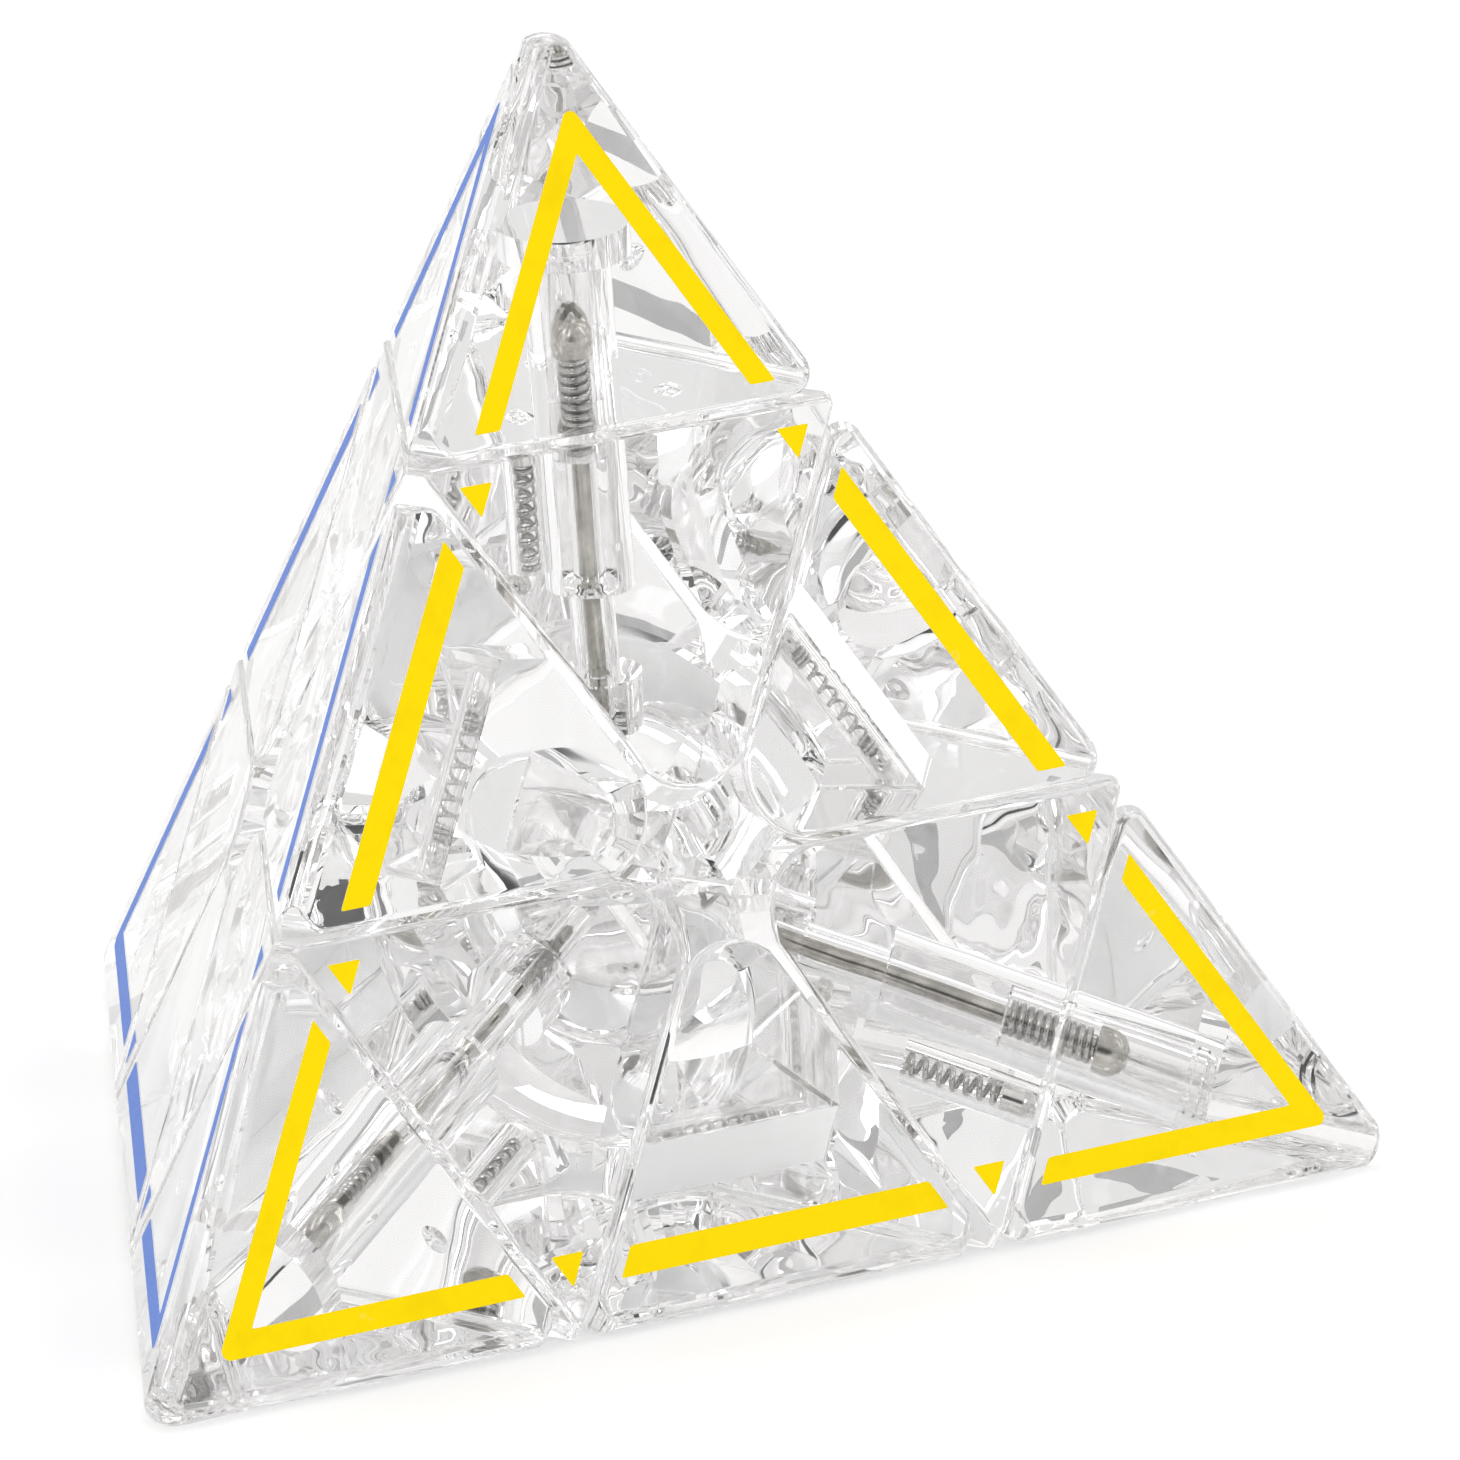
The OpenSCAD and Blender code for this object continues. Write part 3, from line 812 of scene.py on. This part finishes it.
def steel(name, dark, light, roughness, stretch):
    """Metal with fine drawing or turning marks, and its colour mottled between dark and light: slight tarnish
    and painted reflections.
    """
    m, nodes, links, p = node_material(name)
    p.inputs["Metallic"].default_value = 1
    # Base colour mottled between dark and light: partly slight tarnish, partly painted reflections that give
    # the metal the contrast the even pale world does not
    tarnish_and_painted_reflection = noise(nodes, links, scale=700, detail=4, roughness=0.6)
    links.new(ramp(nodes, links, tarnish_and_painted_reflection, ((0.3, dark), (0.7, light))), p.inputs["Base Color"])
    marks = noise(nodes, links, scale=400, detail=3, roughness=0.6, stretch=stretch)
    rough = spread(nodes, links, marks, low=roughness * 0.6, high=roughness * 1.5)
    links.new(rough, p.inputs["Roughness"])
    bump(nodes, links, marks, distance=0.00002, strength=0.4, onto=p.inputs["Normal"])
    return m


def printed(name, colour):
    """Strip print: even ink with a fine grain, faint mottling and a few pale rubbed specks."""
    m, nodes, links, p = node_material(name)
    deep = tuple(c * 0.94 for c in colour)
    pale = tuple(c + (1 - c) * 0.12 for c in colour)
    mottle = noise(nodes, links, scale=350, detail=4, roughness=0.6)
    stops = ((0.3, deep), (0.5, colour), (0.72, colour), (0.8, pale))
    links.new(ramp(nodes, links, mottle, stops), p.inputs["Base Color"])
    grain = noise(nodes, links, scale=5000, detail=2)
    links.new(spread(nodes, links, grain, low=0.34, high=0.5), p.inputs["Roughness"])
    bump(nodes, links, grain, distance=0.00001, strength=0.3, onto=p.inputs["Normal"])
    p.inputs["Specular IOR Level"].default_value = 0.06
    return m


def grey(value):
    return (value, value, value)


def backing():
    """The white back of a strip, slightly mottled."""
    m, nodes, links, p = node_material("strip_backing")
    mottle = noise(nodes, links, scale=600, detail=3)
    links.new(ramp(nodes, links, mottle, ((0.3, grey(0.88)), (0.7, grey(0.95)))), p.inputs["Base Color"])
    links.new(spread(nodes, links, mottle, low=0.5, high=0.65), p.inputs["Roughness"])
    return m


CLEAR = clear_plastic()
# Each steel's dark and light colours set how strongly its painted reflections and tarnish show
SCREW_STEEL = steel("screw_steel", (0.27, 0.255, 0.225), (0.68, 0.66, 0.61), 0.14, (1, 1, 30))
SPRING_STEEL = steel("spring_steel", (0.31, 0.305, 0.29), (0.7, 0.69, 0.67), 0.12, (6, 6, 6))
BALL_STEEL = steel("ball_steel", (0.62, 0.62, 0.6), (0.76, 0.76, 0.74), 0.12, (3, 3, 3))
BACKING = backing()
# The slot of each face's strips; a face goes by the number of the corner opposite it
STRIP_SLOTS = ("strip_green", "strip_red", "strip_blue", "strip_yellow")
STRIP_COLOURS = ((0.03, 0.46, 0.06), (0.7, 0.015, 0.025), (0.09, 0.2, 0.62), (0.97, 0.71, 0.0))
STRIP_INK = [printed(name, colour) for name, colour in zip(STRIP_SLOTS, STRIP_COLOURS)]

# ---- The pieces in place ----

EDGE_SPRING_HALF = 4.26


def make_spring(name, out, wound):
    """A coil spring, moved out from the axis."""
    return finished(placed(wound, Matrix.Translation((out, 0, 0))), name, SHARP_ON_COIL)


TIP, AXIAL, CORE = make_tip(), make_axial(), make_core()
EDGE_CAP, EDGE_FOOT = make_edge_cap(), make_edge_foot()
SCREW, SLEEVE, PIN = make_screw(), make_sleeve(), make_pin()
AXIS_SPRING = make_spring("axis_spring", 0,
                          coil(1.85, 0.25, SPRING_SEAT, HEAD_SEAT, turns=10.5, closed=1))
CLICK_SPRING = make_spring("click_spring", CLICK_OUT,
                           coil(1.25, 0.21, CLICK_BORE_START, PIN_START, turns=7.6, closed=0.7))
EDGE_SPRING = make_spring("edge_spring", EDGE_SPRING_OUT,
                          coil(0.95, 0.16, -EDGE_SPRING_HALF, EDGE_SPRING_HALF, turns=11, closed=2.5))
HERE = Matrix.Identity(4)


def face_label(name, face):
    """A piece's name with the colour of one of its faces."""
    return f"{name}_{STRIP_SLOTS[face].removeprefix('strip_')}"


piece("core", CORE, HERE, "core", [CLEAR], ["core_spider"])
for c, name in enumerate(CORNER_NAMES):
    place = axis_frame(c)
    piece(f"screw_{name}", SCREW, place, "core", [SCREW_STEEL], ["axis_screws"])
    piece(f"axis_spring_{name}", AXIS_SPRING, place, "core", [SPRING_STEEL], ["axis_springs"])
    piece(f"sleeve_{name}", SLEEVE, place, "core", [CLEAR], ["axle_sleeves"])
    piece(f"clear_axial_{name}", AXIAL, place, f"{name}_axial", [CLEAR], [f"axial_{name}"])
    piece(f"coil_{name}", CLICK_SPRING, place, f"{name}_axial", [SPRING_STEEL],
          [f"click_spring_{name}"])
    piece(f"pin_{name}", PIN, place, f"{name}_axial", [BALL_STEEL], [f"click_pin_{name}"])
    piece(f"clear_tip_{name}", TIP, place, f"{name}_tip", [CLEAR], [f"tip_{name}"])
    for face in others([c]):
        ink, slot, label = [STRIP_INK[face], BACKING], STRIP_SLOTS[face], face_label(name, face)
        piece(f"tip_strip_{label}", make_strip(label, [tip_outline()], face, CORNERS[c]), HERE,
              f"{name}_tip", ink, [f"tip_strips_{name}"])
        sides = [axial_outline(-1), axial_outline(1)]
        piece(f"axial_strip_{label}", make_strip(label, sides, face, CORNERS[c]), HERE,
              f"{name}_axial", ink, [f"axial_strips_{name}"])
for edge in EDGES:
    name = edge_name(edge)
    body = f"{name}_edge"
    place = edge_frame(edge)
    piece(f"clear_edge_{name}", EDGE_CAP, place, body, [CLEAR], [f"edge_cap_{name}"])
    piece(f"clear_foot_{name}", EDGE_FOOT, place, body, [CLEAR], [f"edge_foot_{name}"])
    piece(f"coil_{name}", EDGE_SPRING, place, body, [SPRING_STEEL], [f"edge_spring_{name}"])
    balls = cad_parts[f"edge_balls_{name}"]
    balls.data.materials.clear()
    balls.data.materials.append(BALL_STEEL)
    for face in others(edge):
        ink, slot, label = [STRIP_INK[face], BACKING], STRIP_SLOTS[face], face_label(name, face)
        towards = CORNERS[edge[0]] + CORNERS[edge[1]]
        piece(f"edge_strip_{label}", make_strip(label, [edge_outline()], face, towards), HERE,
              body, ink, [f"edge_strips_{name}"])

# ---- Floor and light ----

FLOOR_HALF, FLOOR_GAP = 4, 0.02
SEEN_STRENGTH, LIT_COLOUR = 1.05, (1, 0.995, 0.988, 1)
CAMERA_SIDE = (-0.518, -0.801, 0.12)
LIGHT_TARGET = (0, 0, 0.02)


def make_floor():
    """A white table that the puzzle stands on."""
    m, nodes, links, p = node_material("floor")
    cloud = noise(nodes, links, scale=4, detail=2)
    links.new(ramp(nodes, links, cloud, ((0.3, grey(0.95)), (0.7, grey(0.97)))), p.inputs["Base Color"])
    p.inputs["Roughness"].default_value = 0.9
    p.inputs["Specular IOR Level"].default_value = 0
    bm = bmesh.new()
    bmesh.ops.create_grid(bm, x_segments=1, y_segments=1, size=FLOOR_HALF)
    mesh = bpy.data.meshes.new("floor")
    bm.to_mesh(mesh)
    bm.free()
    mesh.materials.append(m)
    made = bpy.data.objects.new("floor", mesh)
    made.location.z = (-FACE_DISTANCE - FLOOR_GAP) * MM
    scene.collection.objects.link(made)


def make_world():
    """A pale studio: white all round, brighter overhead, darker where the photographer stood."""
    world = bpy.data.worlds.new("studio")
    scene.world = world
    world.use_nodes = True
    nodes, links = world.node_tree.nodes, world.node_tree.links
    nodes.clear()
    out = nodes.new("ShaderNodeOutputWorld")
    where = nodes.new("ShaderNodeTexCoord").outputs["Generated"]

    def towards(direction, low, high, value_low, value_high):
        """value_low far from a direction and value_high near it; low and high are cosines."""
        dot = nodes.new("ShaderNodeVectorMath")
        dot.operation = "DOT_PRODUCT"
        dot.inputs[1].default_value = Vector(direction).normalized()
        links.new(where, dot.inputs[0])
        m = nodes.new("ShaderNodeMapRange")
        m.interpolation_type = "SMOOTHSTEP"
        m.inputs["From Min"].default_value, m.inputs["From Max"].default_value = low, high
        m.inputs["To Min"].default_value, m.inputs["To Max"].default_value = value_low, value_high
        links.new(dot.outputs["Value"], m.inputs["Value"])
        return m.outputs["Result"]

    def times(a, b):
        m = nodes.new("ShaderNodeMath")
        m.operation = "MULTIPLY"
        links.new(a, m.inputs[0])
        links.new(b, m.inputs[1])
        return m.outputs[0]
    level = times(towards(CAMERA_SIDE, low=0.88, high=0.965, value_low=1, value_high=0.06),
                  towards((0, 0, 1), low=0.5, high=0.9, value_low=0.83, value_high=1))
    seen = nodes.new("ShaderNodeBackground")
    seen.inputs["Color"].default_value = (1, 1, 1, 1)
    seen.inputs["Strength"].default_value = SEEN_STRENGTH
    lit = nodes.new("ShaderNodeBackground")
    lit.inputs["Color"].default_value = LIT_COLOUR
    links.new(level, lit.inputs["Strength"])
    mix = nodes.new("ShaderNodeMixShader")
    links.new(nodes.new("ShaderNodeLightPath").outputs["Is Camera Ray"], mix.inputs["Fac"])
    links.new(lit.outputs[0], mix.inputs[1])
    links.new(seen.outputs[0], mix.inputs[2])
    links.new(mix.outputs[0], out.inputs["Surface"])


def area_light(name, place, size, power):
    """A rectangular lamp that faces the puzzle."""
    data = bpy.data.lights.new(name, "AREA")
    data.shape = "RECTANGLE"
    data.size, data.size_y = size
    data.energy = power
    made = bpy.data.objects.new(name, data)
    made.location = place
    made.rotation_mode = "QUATERNION"
    made.rotation_quaternion = (Vector(LIGHT_TARGET) - Vector(place)).to_track_quat("-Z", "Y")
    scene.collection.objects.link(made)


make_floor()
make_world()
area_light("key", (-0.7, -0.35, 0.75), size=(0.5, 0.5), power=2.5)
area_light("fill", (0.75, -0.3, 0.45), size=(0.25, 0.6), power=1.2)
area_light("rim", (0.3, 0.8, 0.6), size=(0.7, 0.3), power=1.5)

scene.view_settings.view_transform = "Standard"
# Light passes through many clear walls before it leaves
scene.cycles.max_bounces = 40
scene.cycles.transmission_bounces = 32
scene.cycles.glossy_bounces = 16
scene.cycles.diffuse_bounces = 4
scene.cycles.transparent_max_bounces = 64
